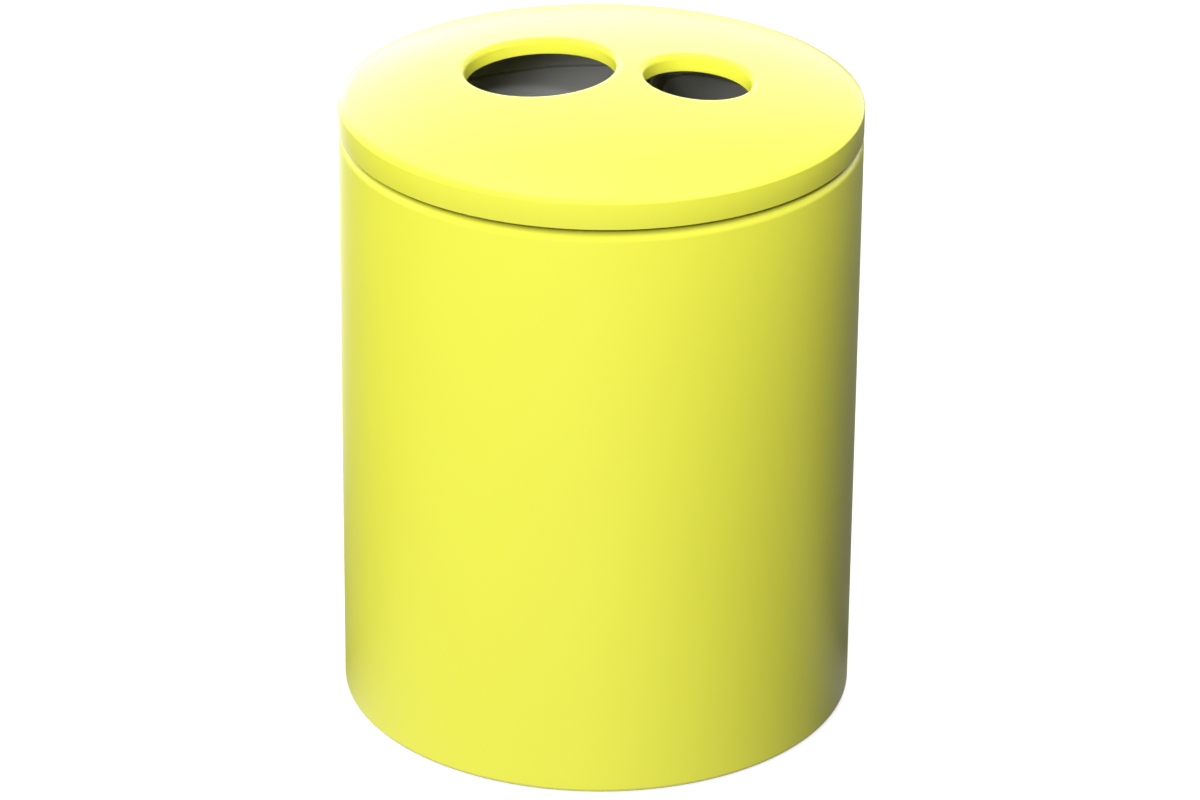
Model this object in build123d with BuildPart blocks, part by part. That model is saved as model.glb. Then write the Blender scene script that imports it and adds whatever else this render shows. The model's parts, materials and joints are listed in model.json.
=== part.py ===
from build123d import *
from math import cos, hypot, radians, sin, sqrt
import os

# Round two-stream litter and recycling bin.
# Millimetres. The origin is on the ground at the middle of the bin, +Z is up, the hinge is at the
# rear (+Y) and the two openings lie in a row along X, the large one on the -X side.

# Driving dimensions of the body
body_radius = 305.0
body_height = 713.0
foot_gap = 6.0
shell_wall = 2.5
shoulder_radius = 12.0
base_edge_radius = 6.0
mouth_radius = 286.0
base_flange = 24.0
body_top = foot_gap + body_height

# Lid
shadow_gap = 4.5
lid_wall = 3.0
lid_bottom = body_top + shadow_gap
skirt_height = 31.0
dome_rise = 42.0
rim_z = lid_bottom + skirt_height
apex_z = rim_z + dome_rise
crown_radius = 1300.0
crown_reach = 190.0
rim_fillet = 2.0
opening_lip = 6.0
collar_depth = 21.5
large_opening = (-72.5, 87.5)
small_opening = (112.0, 62.5)

# Lid ring with its locating lip, and the rubber buffers that carry the lid
sheet = 3.0
lip_outer = 284.0
ring_z = lid_bottom + 2.5
lip_bottom = body_top - 3.0
buffer_circle = 289.0
buffer_radius = 4.5
buffer_stem = 2.5
buffer_count = 6
buffer_head = 3.5
buffer_head_height = 1.5

# Base plate, ground anchors and levelling feet
base_z = foot_gap + shell_wall
base_top = base_z + sheet
base_plate_radius = body_radius - base_edge_radius - 1
anchor_circle = 150.0
anchor_radius = 7.0
drain_circle = 75.0
drain_radius = 6.0
foot_circle = 235.0
foot_radius = 20.0
foot_pad_height = 5.0
foot_pad_round = 2.0
foot_pad_chamfer = 0.8
stud_seat = 3.0
stud_top = 34.0
stud_radius = 5.0
stud_chamfer = 1.0
foot_nut_height = 10.0
running_gap = 0.06

# Liners, which hang by a step in their rim from the ledge ring and the divider rail
liner_wall = 4.0
liner_rim_round = 1.8
liner_step = 8.0
liner_bead = 3.0
liner_draft = 0.6
rim_radius = 282.0
rim_top = body_top - 11.0
ledge_z = body_top - 36.0
ledge_inner = 276.0
ledge_outer = body_radius - shell_wall
ledge_depth = 28.0
bead_z = ledge_z - 30.0
liner_base = 42.0
liner_base_radius = 20.0
corner_radius = 46.0
divider_x = 31.5
rim_gap = 4.0
rail_width = 22.0
rail_depth = 30.0
rail_half_length = 268.0
rail_wall = 2.0
rail_screw_x = 6.0
rail_screw_y = 289.0
rail_screw_radius = 3.0
rail_screw_head = 5.5
rail_screw_head_height = 3.0
rail_screw_round = 1.4
rail_screw_length = 11.0
rail_nut_height = 4.0
tab_length = 28.0

# Drop handles
wire_radius = 2.5
handle_half_width = 48.0
handle_drop = 45.0
handle_bend = 8.0
handle_end = 71.0
pivot_z = ledge_z - 11.0
pivot_offset = 8.5
end_pivot_x = 252.0
saddle_start = 57.0
saddle_length = 12.0
saddle_boss = 5.5
saddle_height = 28.0
saddle_reach = 25.0
saddle_screw_rise = 10.0
saddle_screw_y = saddle_start + saddle_length / 2
saddle_screw_radius = 1.5
saddle_screw_head = 3.0
saddle_screw_head_height = 2.0
saddle_socket = 1.5
saddle_socket_depth = 1.2
screw_bite = 3.0

# Hinge at the rear
leaf_thickness = 2.0
leaf_depth = 41.0
leaf_corner = 4.0
leaf_screw_length = 9.0
leaf_nut_height = 3.2
web_depth = 10.0
web_height = 12.0
hinge_y = body_radius + 5.0
hinge_z = body_top + 2.0
knuckle_radius = 4.25
knuckle_pitch = 22.0
knuckle_gap = 0.4
knuckle_count = 5
pin_radius = 2.5
heel_reach = 4.9
heel_half = 2.2
leaf_screw_radius = 2.0
leaf_socket = 1.5
leaf_socket_depth = 1.2
body_screw_z = body_top - 27.0
lid_screw_z = lid_bottom + 15.0
body_leaf_top = body_top - 1.7
lid_leaf_bottom = lid_bottom + 2.0
lid_leaf_top = lid_bottom + 25.0
pin_head = 4.0
pin_head_length = 2.4
pin_head_round = 1.2
pin_tail = 3.0
pin_chamfer = 0.6
clip_thickness = 1.2

# Latch under the lid, at the front
latch_y = -262.0
latch_reach = 34.0
cam_thickness = 3.0
cam_bottom = rim_top + 4.0
latch_shaft = 5.0
latch_collar = 8.0
latch_square = 6.0
latch_rivet_x = 14.0
latch_rivet_y = -292.0
rivet_radius = 2.0
rivet_head_height = 1.5
rivet_chamfer = 0.6
bracket_z = ring_z + sheet
bracket_outer_y = -299.0
bracket_inner_y = -248.0
bracket_width = 44.0
bracket_corner = 4.0
collar_height = 2.0
square_length = 10.0
circlip_clearance = 0.3
cam_hub = 9.0
cam_tip = 5.0
cam_screw_bite = 10.0
cam_screw_head_height = 2.4
cam_screw_round = 1.0
knob_hub = 10.0
knob_length = 44.0
knob_hub_height = 4.0
knob_grip_z = 4.0
knob_grip_height = 12.0
knob_round = 3.0


def drum(radius, low, high, low_fillet, high_fillet):
    """Half section of a round drum on the XZ plane, with its low and high edges rounded."""
    with BuildSketch(Plane.XZ) as section:
        with Locations((0, low)):
            Rectangle(radius, high - low, align=(Align.MIN, Align.MIN))
        fillet(section.vertices().group_by(Axis.Y)[0].sort_by(Axis.X)[-1], low_fillet)
        fillet(section.vertices().group_by(Axis.Y)[-1].sort_by(Axis.X)[-1], high_fillet)
    return section.sketch


def band(outer, inner, low, high):
    """Section of a plain round band on the XZ plane."""
    with BuildSketch(Plane.XZ) as section:
        with Locations((inner, low)):
            Rectangle(outer - inner, high - low, align=(Align.MIN, Align.MIN))
    return section.sketch


def d_section(height, inset, side):
    """Outline of a liner at one height: a circle cut off by the divider, with rounded corners.

    The inset is measured inwards from the outside of the rim, and side is -1 or +1 along X.
    """
    radius = rim_radius - inset
    flat = divider_x + side * (rim_gap + inset)
    with BuildSketch(Plane.XY.offset(height)) as section:
        Circle(radius)
        with Locations((flat - side * radius, 0)):
            Rectangle(2 * radius, 3 * radius, mode=Mode.SUBTRACT)
        fillet(section.vertices(), corner_radius - inset)
    return section.sketch


def radial_plane(angle, radius, height):
    """Plane that faces away from the Z axis, at an angle in degrees, a radius and a height."""
    turn = radians(angle)
    return Plane(
        origin=(radius * cos(turn), radius * sin(turn), height),
        x_dir=(-sin(turn), cos(turn), 0),
        z_dir=(cos(turn), sin(turn), 0),
    )


def cross_plane(x, outward):
    """Plane across the X axis at x, facing along outward, which is -1 or +1."""
    return Plane(origin=(x, 0, 0), x_dir=(0, 1, 0), z_dir=(outward, 0, 0))


UP = (Align.CENTER, Align.CENTER, Align.MIN)
DOWN = (Align.CENTER, Align.CENTER, Align.MAX)
leaf_screw_angles = (83, 87, 93, 97)
rail_screw_points = [
    (divider_x + along, side * rail_screw_y)
    for side in (-1, 1)
    for along in (-rail_screw_x, rail_screw_x)
]

# Body --------------------------------------------------------------------------------------

with BuildPart() as body_shell:
    revolve(drum(body_radius, foot_gap, body_top, base_edge_radius, shoulder_radius), axis=Axis.Z)
    inside = drum(
        body_radius - shell_wall,
        foot_gap + shell_wall,
        body_top - shell_wall,
        base_edge_radius - shell_wall,
        shoulder_radius - shell_wall,
    )
    revolve(inside, axis=Axis.Z, mode=Mode.SUBTRACT)
    with Locations((0, 0, body_top)):
        Cylinder(mouth_radius, 4 * shell_wall, mode=Mode.SUBTRACT)
    with Locations((0, 0, foot_gap)):
        Cylinder(body_radius - base_flange, 4 * shell_wall, mode=Mode.SUBTRACT)
    for angle in leaf_screw_angles:
        with Locations(radial_plane(angle, body_radius, body_screw_z)):
            Cylinder(leaf_screw_radius, 4 * shell_wall, mode=Mode.SUBTRACT)

with BuildPart() as base_plate:
    with BuildSketch(Plane.XY.offset(base_z)):
        Circle(base_plate_radius)
        with PolarLocations(anchor_circle, 4):
            Circle(anchor_radius, mode=Mode.SUBTRACT)
        with PolarLocations(foot_circle, 4, start_angle=45):
            Circle(stud_radius + running_gap, mode=Mode.SUBTRACT)
        with PolarLocations(drain_circle, 4, start_angle=45):
            Circle(drain_radius, mode=Mode.SUBTRACT)
    extrude(amount=sheet)

with BuildPart() as ledge_ring:
    revolve(band(ledge_outer, ledge_inner, ledge_z - sheet, ledge_z), axis=Axis.Z)
    revolve(band(ledge_outer, ledge_outer - sheet, ledge_z - ledge_depth, ledge_z), axis=Axis.Z)
    with Locations([(x, y, ledge_z) for x, y in rail_screw_points]):
        Cylinder(rail_screw_radius, 2 * sheet + 1, mode=Mode.SUBTRACT)

with BuildPart() as divider_rail:
    with BuildSketch(Plane.XZ):
        with Locations((divider_x, ledge_z - rail_depth / 2)):
            RectangleRounded(rail_width, rail_depth, rail_wall)
            Rectangle(rail_width - 2 * rail_wall, rail_depth - 2 * rail_wall, mode=Mode.SUBTRACT)
    extrude(amount=rail_half_length, both=True)

with BuildPart() as rail_brackets:
    for side in (-1, 1):
        with Locations((divider_x, side * (rail_half_length + sheet / 2), ledge_z - sheet)):
            Box(rail_width, sheet, rail_depth - sheet, align=DOWN)
        with Locations((divider_x, side * (rail_half_length + tab_length / 2), ledge_z - sheet)):
            Box(rail_width, tab_length, sheet, align=DOWN)
    with Locations([(x, y, ledge_z) for x, y in rail_screw_points]):
        Cylinder(rail_screw_radius, 5 * sheet, mode=Mode.SUBTRACT)

with BuildPart() as rail_screws:
    with Locations([(x, y, ledge_z) for x, y in rail_screw_points]):
        Cylinder(rail_screw_head, rail_screw_head_height, align=UP)
    fillet(rail_screws.edges().group_by(Axis.Z)[-1], rail_screw_round)
    with Locations([(x, y, ledge_z) for x, y in rail_screw_points]):
        Cylinder(rail_screw_radius, rail_screw_length, align=DOWN)

with BuildPart() as rail_nuts:
    with BuildSketch(Plane.XY.offset(ledge_z - 2 * sheet)):
        with Locations(rail_screw_points):
            RegularPolygon(rail_screw_head, 6)
            Circle(rail_screw_radius, mode=Mode.SUBTRACT)
    extrude(amount=-rail_nut_height)


# Liners ------------------------------------------------------------------------------------


def liner_form(inset, side):
    """Solid form of a liner, drawn inwards by inset: the rim, a band below it and the drafted tub."""
    with BuildPart() as form:
        extrude(d_section(ledge_z + inset, inset, side), amount=rim_top - ledge_z)
        extrude(d_section(bead_z + inset, liner_step + inset, side), amount=ledge_z - bead_z)
        tub = d_section(bead_z + inset, liner_step + liner_bead + inset, side)
        extrude(tub, amount=liner_base - bead_z, taper=liner_draft)
        fillet(form.edges().group_by(Axis.Z)[0], liner_base_radius - inset)
    return form.part


def handle_wall_x(pivot_x, outward):
    """Where the liner's inner wall stands behind a saddle screw."""
    if abs(pivot_x) == end_pivot_x:
        wall_radius = rim_radius - liner_step - liner_wall
        return outward * sqrt(wall_radius**2 - saddle_screw_y**2)
    return pivot_x + outward * pivot_offset


inner_wall = rim_gap + liner_step + liner_wall
handles = {
    "large_end_handle": (-end_pivot_x, -1),
    "large_inner_handle": (divider_x - inner_wall - pivot_offset, 1),
    "small_inner_handle": (divider_x + inner_wall + pivot_offset, -1),
    "small_end_handle": (end_pivot_x, 1),
}


def saddle_screw_planes(pivot_x, outward):
    """Planes on the saddle plates' faces at the screws, facing back into the liner."""
    return [
        Plane(
            origin=(pivot_x + outward * saddle_boss, side * saddle_screw_y, pivot_z + rise),
            x_dir=(0, 1, 0),
            z_dir=(-outward, 0, 0),
        )
        for side in (-1, 1)
        for rise in (-saddle_screw_rise, saddle_screw_rise)
    ]


def screw_length(pivot_x, outward):
    """From the saddle plate's face to the screw's end inside the liner's wall."""
    return abs(handle_wall_x(pivot_x, outward) - pivot_x) - saddle_boss + screw_bite


def make_liner(side, names):
    """A liner with the blind screw holes for its two pairs of saddles."""
    with BuildPart() as liner:
        add(liner_form(0, side))
        add(liner_form(liner_wall, side), mode=Mode.SUBTRACT)
        fillet(liner.edges().group_by(Axis.Z)[-1], liner_rim_round)
        for pivot_x, outward in (handles[name] for name in names):
            with Locations(*saddle_screw_planes(pivot_x, outward)):
                length = screw_length(pivot_x, outward)
                Cylinder(saddle_screw_radius, length, align=DOWN, mode=Mode.SUBTRACT)
    return liner


def make_saddles(side, names):
    """The plates that hold the two wire handles of one liner against its inner wall."""
    with BuildPart() as saddles:
        for pivot_x, outward in (handles[name] for name in names):
            for start in (-saddle_start - saddle_length, saddle_start):
                with BuildSketch(Plane.XZ.offset(-start - saddle_length)):
                    with Locations((pivot_x, pivot_z)):
                        Circle(saddle_boss)
                    with Locations((pivot_x + outward * saddle_reach / 2, pivot_z)):
                        Rectangle(saddle_reach, 2 * saddle_boss)
                    plate_middle = pivot_x + outward * (saddle_boss + saddle_reach) / 2
                    with Locations((plate_middle, pivot_z)):
                        Rectangle(saddle_reach - saddle_boss, saddle_height)
                    with Locations((pivot_x, pivot_z)):
                        Circle(wire_radius + running_gap, mode=Mode.SUBTRACT)
                extrude(amount=saddle_length)
        room = d_section(bead_z, liner_step + liner_wall, side)
        extrude(room, amount=ledge_z - bead_z + liner_wall, mode=Mode.INTERSECT)
        for pivot_x, outward in (handles[name] for name in names):
            with Locations(*saddle_screw_planes(pivot_x, outward)):
                Cylinder(saddle_screw_radius, 4 * saddle_boss, align=DOWN, mode=Mode.SUBTRACT)
    return saddles


large_liner = make_liner(-1, ("large_end_handle", "large_inner_handle"))
small_liner = make_liner(1, ("small_inner_handle", "small_end_handle"))
large_liner_saddles = make_saddles(-1, ("large_end_handle", "large_inner_handle"))
small_liner_saddles = make_saddles(1, ("small_inner_handle", "small_end_handle"))

with BuildPart() as saddle_screws:
    for pivot_x, outward in handles.values():
        with Locations(*saddle_screw_planes(pivot_x, outward)):
            Cylinder(saddle_screw_head, saddle_screw_head_height, align=UP)
            Cylinder(saddle_screw_radius, screw_length(pivot_x, outward), align=DOWN)
        for plane in saddle_screw_planes(pivot_x, outward):
            with BuildSketch(plane.offset(saddle_screw_head_height)):
                RegularPolygon(saddle_socket, 6)
            extrude(amount=-saddle_socket_depth, mode=Mode.SUBTRACT)


def make_handle(pivot_x):
    """A wire drop handle, hanging down from its two ends in the saddles."""
    with BuildPart() as handle:
        with BuildLine(cross_plane(pivot_x, 1)):
            wire = FilletPolyline(
                (-handle_end, pivot_z),
                (-handle_half_width, pivot_z),
                (-handle_half_width, pivot_z - handle_drop),
                (handle_half_width, pivot_z - handle_drop),
                (handle_half_width, pivot_z),
                (handle_end, pivot_z),
                radius=handle_bend,
            )
        with BuildSketch(Plane(origin=wire @ 0, z_dir=wire % 0)):
            Circle(wire_radius)
        sweep()
    return handle


# Lid ---------------------------------------------------------------------------------------

crown_centre_z = apex_z - crown_radius


def crown_z(x):
    """Height of the crown's outer surface at a distance from the middle."""
    return crown_centre_z + sqrt(crown_radius**2 - x**2)


def crown_plane(x, depth=0):
    """Plane square to the crown at x, as far below its outer surface as depth.

    The openings are drawn square to the crown, so their collars lean outwards a little.
    """
    outward = Vector(x, 0, crown_z(x) - crown_centre_z).normalized()
    origin = Vector(0, 0, crown_centre_z) + outward * (crown_radius - depth)
    return Plane(origin=origin, x_dir=(outward.Z, 0, -outward.X), z_dir=outward)


with BuildPart() as dome:
    with BuildSketch(Plane.YZ) as dome_section:
        with BuildLine():
            crown = ThreePointArc(
                (0, apex_z),
                (crown_reach / 2, crown_z(crown_reach / 2)),
                (crown_reach, crown_z(crown_reach)),
            )
            TangentArc(crown @ 1, (body_radius, rim_z), tangent=crown % 1)
            Polyline((body_radius, rim_z), (body_radius, lid_bottom), (0, lid_bottom), (0, apex_z))
        make_face()
        fillet(dome_section.vertices().group_by(Axis.X)[-1].sort_by(Axis.Y)[-1], rim_fillet)
    revolve(axis=Axis.Z)

with BuildPart() as lid_cavity:
    add(dome.part)
    offset(amount=-lid_wall)
    with Locations((0, 0, lid_bottom)):
        Cylinder(body_radius - lid_wall, 3 * lid_wall)
    for x, radius in (large_opening, small_opening):
        with Locations(crown_plane(x, collar_depth)):
            Cylinder(radius + lid_wall, 2 * collar_depth, align=UP, mode=Mode.SUBTRACT)

with BuildPart() as lid_shell:
    add(dome.part)
    add(lid_cavity.part, mode=Mode.SUBTRACT)
    for x, radius in (large_opening, small_opening):
        with Locations(crown_plane(x)):
            Cylinder(radius, 3 * collar_depth, mode=Mode.SUBTRACT)
    walls = lid_shell.faces().filter_by(GeomType.CYLINDER)
    for x, radius in (large_opening, small_opening):
        collar = [wall for wall in walls if abs(wall.radius - radius) < 0.1]
        lips = ShapeList(collar).edges().group_by(Axis.Z)[-1]
        fillet(lips, opening_lip)
    for angle in leaf_screw_angles:
        with Locations(radial_plane(angle, body_radius, lid_screw_z)):
            Cylinder(leaf_screw_radius, 4 * lid_wall, mode=Mode.SUBTRACT)

with BuildPart() as lid_ring:
    revolve(band(body_radius - lid_wall, lip_outer - sheet, ring_z, bracket_z), axis=Axis.Z)
    revolve(band(lip_outer, lip_outer - sheet, lip_bottom, bracket_z), axis=Axis.Z)
    with Locations((0, 0, ring_z)):
        with PolarLocations(buffer_circle, buffer_count):
            Cylinder(buffer_stem, 4 * sheet, mode=Mode.SUBTRACT)
    with Locations([(x, latch_rivet_y, ring_z) for x in (-latch_rivet_x, latch_rivet_x)]):
        Cylinder(rivet_radius, 4 * sheet, mode=Mode.SUBTRACT)

with BuildPart() as lid_buffers:
    with Locations((0, 0, body_top)):
        with PolarLocations(buffer_circle, buffer_count):
            Cylinder(buffer_radius, ring_z - body_top, align=UP)
            Cylinder(buffer_stem, ring_z - body_top + sheet, align=UP)
    with Locations((0, 0, bracket_z)):
        with PolarLocations(buffer_circle, buffer_count):
            Cylinder(buffer_head, buffer_head_height, align=UP)


# Hinge -------------------------------------------------------------------------------------


def make_hinge_leaf(low, high, first, web_side, screw_z):
    """A rolled leaf on the outside of the wall, with every second knuckle starting at first.

    The web from each knuckle to its leaf goes down for web_side -1 and up for +1.
    """
    with BuildPart() as leaf:
        with BuildSketch(Plane.XY.offset(low)):
            with Locations((0, body_radius)):
                Rectangle(knuckle_count * knuckle_pitch, 40)
            Circle(body_radius + leaf_thickness, mode=Mode.INTERSECT)
            Circle(body_radius, mode=Mode.SUBTRACT)
        extrude(amount=high - low)
        corners = leaf.edges().filter_by(Axis.Y).group_by(Axis.Z)
        fillet(corners[0] if web_side < 0 else corners[-1], leaf_corner)
        for place in range(first, knuckle_count, 2):
            middle = (place - (knuckle_count - 1) / 2) * knuckle_pitch
            length = knuckle_pitch - knuckle_gap
            with Locations((middle, hinge_y - web_depth / 2, hinge_z + web_side * web_height / 2)):
                Box(length, web_depth, web_height)
            if web_side > 0:
                with Locations((middle, hinge_y + heel_reach / 2, hinge_z)):
                    Box(length, heel_reach, 2 * heel_half)
            with Locations(Location((middle, hinge_y, hinge_z), (0, 90, 0))):
                Cylinder(knuckle_radius, length)
        with Locations((0, 0, hinge_z)):
            Cylinder(body_radius, 4 * web_height, mode=Mode.SUBTRACT)
        with Locations(Location((0, hinge_y, hinge_z), (0, 90, 0))):
            Cylinder(pin_radius + running_gap, 2 * body_radius, mode=Mode.SUBTRACT)
        for angle in leaf_screw_angles:
            with Locations(radial_plane(angle, body_radius, screw_z)):
                Cylinder(leaf_screw_radius, 4 * leaf_thickness, mode=Mode.SUBTRACT)
    return leaf


def make_leaf_screws(screw_z):
    """Button-head socket screws through a leaf and the wall behind it."""
    with BuildPart() as screws:
        for angle in leaf_screw_angles:
            with Locations(radial_plane(angle, body_radius + leaf_thickness, screw_z)):
                Cylinder(2 * leaf_screw_radius, leaf_screw_radius, align=UP)
        head_middle = body_radius + leaf_thickness + leaf_screw_radius / 2
        flats = screws.faces().filter_by(GeomType.PLANE)
        tops = [flat for flat in flats if hypot(flat.center().X, flat.center().Y) > head_middle]
        fillet([edge for top in tops for edge in top.edges()], leaf_screw_radius / 2)
        for angle in leaf_screw_angles:
            with Locations(radial_plane(angle, body_radius + leaf_thickness, screw_z)):
                Cylinder(leaf_screw_radius, leaf_screw_length, align=DOWN)
            head_top = body_radius + leaf_thickness + leaf_screw_radius
            with BuildSketch(radial_plane(angle, head_top, screw_z)):
                RegularPolygon(leaf_socket, 6)
            extrude(amount=-leaf_socket_depth, mode=Mode.SUBTRACT)
    return screws


def make_leaf_nuts(inner_radius, screw_z):
    """Hexagon nuts behind the wall."""
    with BuildPart() as nuts:
        for angle in leaf_screw_angles:
            with BuildSketch(radial_plane(angle, inner_radius - 0.1, screw_z)):
                RegularPolygon(2 * leaf_screw_radius, 6)
                Circle(leaf_screw_radius, mode=Mode.SUBTRACT)
            extrude(amount=-leaf_nut_height)
    return nuts


body_hinge_leaf = make_hinge_leaf(body_top - leaf_depth, body_leaf_top, 0, -1, body_screw_z)
lid_hinge_leaf = make_hinge_leaf(lid_leaf_bottom, lid_leaf_top, 1, 1, lid_screw_z)
body_leaf_screws = make_leaf_screws(body_screw_z)
lid_leaf_screws = make_leaf_screws(lid_screw_z)
body_leaf_nuts = make_leaf_nuts(body_radius - shell_wall, body_screw_z)
lid_leaf_nuts = make_leaf_nuts(body_radius - lid_wall, lid_screw_z)

hinge_half = knuckle_count * knuckle_pitch / 2
with BuildPart() as hinge_pin:
    with BuildSketch(Plane.YZ.offset(-hinge_half)):
        with Locations((hinge_y, hinge_z)):
            Circle(pin_radius)
    extrude(amount=2 * hinge_half + pin_tail)
    with BuildSketch(Plane.YZ.offset(-hinge_half)):
        with Locations((hinge_y, hinge_z)):
            Circle(pin_head)
    extrude(amount=-pin_head_length)
    fillet(hinge_pin.edges().group_by(Axis.X)[0], pin_head_round)
    chamfer(hinge_pin.edges().group_by(Axis.X)[-1], pin_chamfer)

with BuildPart() as pin_clip:
    with BuildSketch(Plane.YZ.offset(hinge_half)):
        with Locations((hinge_y, hinge_z)):
            Circle(pin_head)
            Circle(pin_radius, mode=Mode.SUBTRACT)
    extrude(amount=clip_thickness)


# Latch under the front of the lid: a cam on an upright spindle turns in below the body's flange --

with BuildPart() as latch_bracket:
    with BuildSketch(Plane.XY.offset(bracket_z)):
        with Locations((0, (bracket_outer_y + bracket_inner_y) / 2)):
            RectangleRounded(bracket_width, bracket_inner_y - bracket_outer_y, bracket_corner)
        with Locations((0, latch_y)):
            Circle(latch_shaft + running_gap, mode=Mode.SUBTRACT)
        with Locations((-latch_rivet_x, latch_rivet_y), (latch_rivet_x, latch_rivet_y)):
            Circle(rivet_radius, mode=Mode.SUBTRACT)
    extrude(amount=sheet)

with BuildPart() as latch_rivets:
    for x in (-latch_rivet_x, latch_rivet_x):
        with Locations((x, latch_rivet_y, ring_z)):
            Cylinder(rivet_radius, 2 * sheet, align=UP)
            Cylinder(2 * rivet_radius, rivet_head_height, align=DOWN)
        with Locations((x, latch_rivet_y, bracket_z + sheet)):
            Cylinder(2 * rivet_radius, rivet_head_height, align=UP)
    chamfer(latch_rivets.edges().group_by(Axis.Z)[-1], rivet_chamfer)
    chamfer(latch_rivets.edges().group_by(Axis.Z)[0], rivet_chamfer)

collar_z = bracket_z + sheet
with BuildPart() as latch_spindle:
    with Locations((0, latch_y, cam_bottom)):
        Box(latch_square, latch_square, cam_thickness, align=UP)
    with Locations((0, latch_y, cam_bottom + cam_thickness)):
        Cylinder(latch_shaft, collar_z - cam_bottom - cam_thickness, align=UP)
    with Locations((0, latch_y, collar_z)):
        Cylinder(latch_collar, collar_height, align=UP)
        Box(latch_square, latch_square, square_length, align=UP)
    with Locations((0, latch_y, cam_bottom)):
        Cylinder(rivet_radius, cam_screw_bite, align=UP, mode=Mode.SUBTRACT)

with BuildPart() as latch_circlip:
    with BuildSketch(Plane.XY.offset(bracket_z - circlip_clearance)):
        with Locations((0, latch_y)):
            Circle(latch_collar)
            Circle(latch_shaft, mode=Mode.SUBTRACT)
    extrude(amount=-clip_thickness)

with BuildPart() as latch_cam:
    with BuildSketch(Plane.XY.offset(cam_bottom)):
        with Locations((0, latch_y)):
            Circle(cam_hub)
        with Locations((latch_reach - cam_tip, latch_y)):
            Circle(cam_tip)
        make_hull()
        with Locations((0, latch_y)):
            Rectangle(latch_square, latch_square, mode=Mode.SUBTRACT)
    extrude(amount=cam_thickness)

with BuildPart() as latch_screw:
    with Locations((0, latch_y, cam_bottom)):
        Cylinder(cam_hub / 2, cam_screw_head_height, align=DOWN)
    fillet(latch_screw.edges().group_by(Axis.Z)[0], cam_screw_round)
    with Locations((0, latch_y, cam_bottom)):
        Cylinder(rivet_radius, cam_screw_bite - 1, align=UP)

with BuildPart() as latch_knob:
    with Locations((0, latch_y, collar_z + collar_height)):
        Cylinder(knob_hub, knob_hub_height, align=UP)
    with BuildSketch(Plane.XY.offset(collar_z + knob_grip_z)):
        with Locations((0, latch_y)):
            SlotOverall(knob_length, knob_hub)
    extrude(amount=knob_grip_height)
    fillet(latch_knob.edges().group_by(Axis.Z)[-1], knob_round)
    with Locations((0, latch_y, collar_z)):
        Box(latch_square, latch_square, square_length, align=UP, mode=Mode.SUBTRACT)


# Levelling feet ----------------------------------------------------------------------------


def make_foot(angle):
    """The rubber pad and the threaded stud of the foot at an angle in degrees."""
    x = foot_circle * cos(radians(angle))
    y = foot_circle * sin(radians(angle))
    with BuildPart() as pad:
        with Locations((x, y, 0)):
            Cylinder(foot_radius, foot_pad_height, align=UP)
        fillet(pad.edges().group_by(Axis.Z)[-1], foot_pad_round)
        chamfer(pad.edges().group_by(Axis.Z)[0], foot_pad_chamfer)
        with Locations((x, y, foot_pad_height)):
            Cylinder(stud_radius, 2 * stud_seat, mode=Mode.SUBTRACT)
    with BuildPart() as stud:
        with BuildSketch(Plane.XY.offset(foot_pad_height)):
            with Locations((x, y)):
                RegularPolygon(2 * stud_radius, 6)
        extrude(amount=base_z - foot_pad_height)
        with Locations((x, y, foot_pad_height - stud_seat)):
            Cylinder(stud_radius, stud_top - foot_pad_height + stud_seat, align=UP)
        chamfer(stud.edges().group_by(Axis.Z)[-1], stud_chamfer)
    return pad, stud


with BuildPart() as foot_nuts:
    with BuildSketch(Plane.XY.offset(base_top)):
        with PolarLocations(foot_circle, 4, start_angle=45):
            RegularPolygon(2 * stud_radius, 6)
            Circle(stud_radius + running_gap, mode=Mode.SUBTRACT)
    extrude(amount=foot_nut_height)


# Files -------------------------------------------------------------------------------------

pieces = {
    "body_shell": body_shell,
    "base_plate": base_plate,
    "ledge_ring": ledge_ring,
    "divider_rail": divider_rail,
    "rail_brackets": rail_brackets,
    "rail_screws": rail_screws,
    "rail_nuts": rail_nuts,
    "large_liner": large_liner,
    "small_liner": small_liner,
    "large_liner_saddles": large_liner_saddles,
    "small_liner_saddles": small_liner_saddles,
    "saddle_screws": saddle_screws,
    "lid_shell": lid_shell,
    "lid_ring": lid_ring,
    "lid_buffers": lid_buffers,
    "body_hinge_leaf": body_hinge_leaf,
    "lid_hinge_leaf": lid_hinge_leaf,
    "body_leaf_screws": body_leaf_screws,
    "lid_leaf_screws": lid_leaf_screws,
    "body_leaf_nuts": body_leaf_nuts,
    "lid_leaf_nuts": lid_leaf_nuts,
    "hinge_pin": hinge_pin,
    "pin_clip": pin_clip,
    "latch_bracket": latch_bracket,
    "latch_rivets": latch_rivets,
    "latch_spindle": latch_spindle,
    "latch_circlip": latch_circlip,
    "latch_cam": latch_cam,
    "latch_screw": latch_screw,
    "latch_knob": latch_knob,
    "foot_nuts": foot_nuts,
}
for name, (pivot_x, outward) in handles.items():
    pieces[name] = make_handle(pivot_x)
feet = {"rear_right": 45, "rear_left": 135, "front_left": 225, "front_right": 315}
for place, angle in feet.items():
    pieces[f"{place}_foot_pad"], pieces[f"{place}_foot_stud"] = make_foot(angle)

os.makedirs("parts", exist_ok=True)
for name, piece in pieces.items():
    piece.part.label = name
    export_step(piece.part, f"parts/{name}.step")
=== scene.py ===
# %% [markdown]
# # A round litter bin with two openings
# The object is a street bin of yellow powder-coated steel. Its lid is a shallow dome with a large and a
# small round opening, and under each opening hangs a grey plastic liner. The construction comes from the
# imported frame, which fixes every size and place. This script gives the pieces their surfaces: the large
# sheet-metal and moulded forms are modelled again as clean meshes, the hardware is refined from the frame's
# own nodes, and every finish is procedural.

# %% Load the frame
import json
from math import asin, atan2, cos, pi, radians, sin, sqrt, tan

import bmesh
import bpy
from mathutils import Matrix, Vector


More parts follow.
